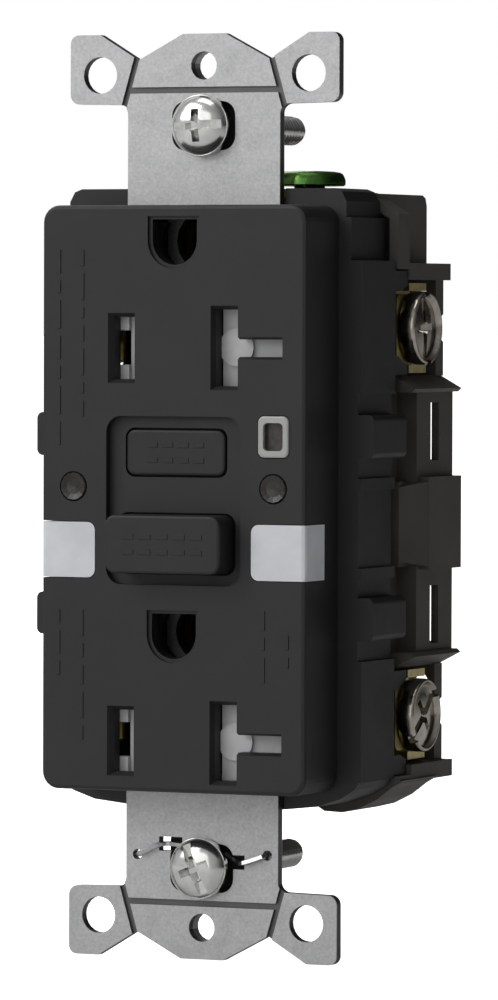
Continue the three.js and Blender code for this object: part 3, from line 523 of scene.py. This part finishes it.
# ---------- generic marks ----------
def blocks(name, rects, front, back, material):
    """Small raised blocks in one plane: each is (lowest x, highest x, lowest z, highest z)."""
    mesh = bmesh.new()
    for x0, x1, z0, z1 in rects:
        box = bmesh.ops.create_cube(mesh, size=1.0)["verts"]
        for v in box:
            x = x0 if v.co.x < 0 else x1
            y = front if v.co.y < 0 else back
            z = z0 if v.co.z < 0 else z1
            v.co = Vector((x, y, z)) * MM
    obj = to_object(name, mesh)
    round_edges(obj, 0.05)
    paint(obj, material)
    return obj


def button_dashes(count, width, z_middle, pitch):
    """Two rows of short dashes, mirrored about the button's middle."""
    rows = []
    for z in (z_middle + 0.85, z_middle - 0.85):
        for i in range(count):
            x = (i - (count - 1) / 2) * pitch
            rows.append((x - width / 2, x + width / 2, z - 0.3, z + 0.3))
    return rows


def column_dashes(x, z_high, z_low, lengths):
    """A column of upright dashes of varied length, from the top down."""
    rects = []
    z = z_high
    i = 0
    while z - lengths[i % len(lengths)] > z_low:
        length = lengths[i % len(lengths)]
        rects.append((x - 0.22, x + 0.22, z - length, z))
        z -= length + 0.8
        i += 1
    return rects


def build_marks():
    face = MATERIALS["face_plastic"].material
    test = blocks("test_marks", button_dashes(4, 1.3, TEST_Z, 1.9), *TEST_MARKS, face)
    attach(test, "test_button")
    reset = blocks("reset_marks", button_dashes(5, 1.5, RESET_Z, 2.1), *RESET_MARKS, face)
    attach(reset, "reset_button")
    columns = column_dashes(-14.1, 27.7, 5.6, (2.6, 1.4, 3.2))
    columns += column_dashes(-11.2, 27.7, 8.0, (1.8, 3.0, 1.2))
    columns += column_dashes(-14.1, -12.5, -23.0, (1.6, 2.6))
    columns += column_dashes(-11.2, -12.5, -28.8, (3.0, 1.6, 2.2))
    columns += column_dashes(14.0, -14.9, -20.9, (1.6, 1.2))
    columns += column_dashes(11.1, -12.2, -23.1, (2.2, 1.4, 2.8))
    cover = blocks("face_marks", columns, *FACE_MARKS, face)
    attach(cover, "housing")


build_marks()


# ---------- stage, light and camera ----------
def plane(name, size, location):
    mesh = bpy.data.meshes.new(name)
    half = size / 2
    corners = [(-half, -half, 0), (half, -half, 0), (half, half, 0), (-half, half, 0)]
    mesh.from_pydata(corners, [], [(0, 1, 2, 3)])
    obj = bpy.data.objects.new(name, mesh)
    obj.location = location
    scene.collection.objects.link(obj)
    return obj


def build_stage():
    gap = 0.0004                     # keeps the floor just clear of the lowest edge
    floor = plane("floor", 30.0, (0, 0, CAD_BOX[0][2] - gap))
    pale = Shader("pale_floor", Roughness=0.9)
    pale.color(pale.ramp(pale.noise(0.01, detail=2), (0.3, 0.74), (0.7, 0.78)))
    seen = pale.node("ShaderNodeLightPath")
    pale.bsdf.inputs["Emission Color"].default_value = (1, 1, 1, 1)
    pale.link(pale.span(seen.outputs["Is Camera Ray"], 0.0, 1.1), pale.bsdf.inputs["Emission Strength"])
    paint(floor, pale.material)
    world = bpy.data.worlds.new("studio")
    world.use_nodes = True
    scene.world = world
    tree = world.node_tree
    background = tree.nodes["Background"]
    background.inputs["Color"].default_value = (1, 1, 1, 1)
    place = tree.nodes.new("ShaderNodeTexCoord")
    lean = tree.nodes.new("ShaderNodeVectorMath")
    lean.operation = "DOT_PRODUCT"
    lean.inputs[1].default_value = (-0.55, -0.8, 0.25)
    tree.links.new(place.outputs["Generated"], lean.inputs[0])
    glow = tree.nodes.new("ShaderNodeMapRange")
    glow.interpolation_type = "SMOOTHSTEP"
    glow.inputs["From Min"].default_value = -0.7
    glow.inputs["From Max"].default_value = 1.0
    glow.inputs["To Min"].default_value = 0.02
    glow.inputs["To Max"].default_value = 0.5
    tree.links.new(lean.outputs["Value"], glow.inputs["Value"])
    seen = tree.nodes.new("ShaderNodeLightPath")
    level = tree.nodes.new("ShaderNodeMapRange")
    tree.links.new(glow.outputs["Result"], level.inputs["To Min"])
    level.inputs["To Max"].default_value = 1.0
    tree.links.new(seen.outputs["Is Camera Ray"], level.inputs["Value"])
    tree.links.new(level.outputs["Result"], background.inputs["Strength"])


def softbox(name, azimuth, elevation, distance, size, power):
    """A soft area light aimed at the object; azimuth 0 stands in front of the face."""
    a = math.radians(azimuth)
    e = math.radians(elevation)
    away = Vector((math.sin(a) * math.cos(e), -math.cos(a) * math.cos(e), math.sin(e)))
    lamp = bpy.data.lights.new(name, "AREA")
    lamp.shape = "RECTANGLE"
    lamp.size, lamp.size_y = size
    lamp.energy = power
    obj = bpy.data.objects.new(name, lamp)
    obj.location = away * distance
    obj.rotation_euler = away.to_track_quat("Z", "Y").to_euler()
    scene.collection.objects.link(obj)


def build_lights():
    softbox("key", -42, 32, 0.9, (0.6, 0.6), 3.0)
    softbox("front_fill", -5, 12, 1.2, (0.7, 0.9), 1.6)
    softbox("top", -15, 80, 0.8, (0.5, 0.4), 1.1)
    softbox("rear_left", -140, 20, 1.0, (0.5, 0.7), 2.4)


def build_camera():
    """The camera stands to the right of the face and a little above its middle."""
    target = Vector((5.72, -1.2, -0.21)) * MM
    distance = 0.761
    yaw, pitch, roll = math.radians(24.58), math.radians(1.62), math.radians(0.17)
    back = Vector((math.sin(yaw) * math.cos(pitch), -math.cos(yaw) * math.cos(pitch), math.sin(pitch)))
    data = bpy.data.cameras.new("camera")
    data.sensor_width = 36.0
    data.lens = 244.8
    data.clip_start = 0.05
    data.dof.use_dof = False
    camera = bpy.data.objects.new("camera", data)
    turn = back.to_track_quat("Z", "Y").to_matrix() @ Matrix.Rotation(roll, 3, "Z")
    camera.matrix_world = Matrix.Translation(target + back * distance) @ turn.to_4x4()
    scene.collection.objects.link(camera)
    scene.camera = camera


build_stage()
build_lights()
build_camera()
scene.view_settings.view_transform = "Standard"
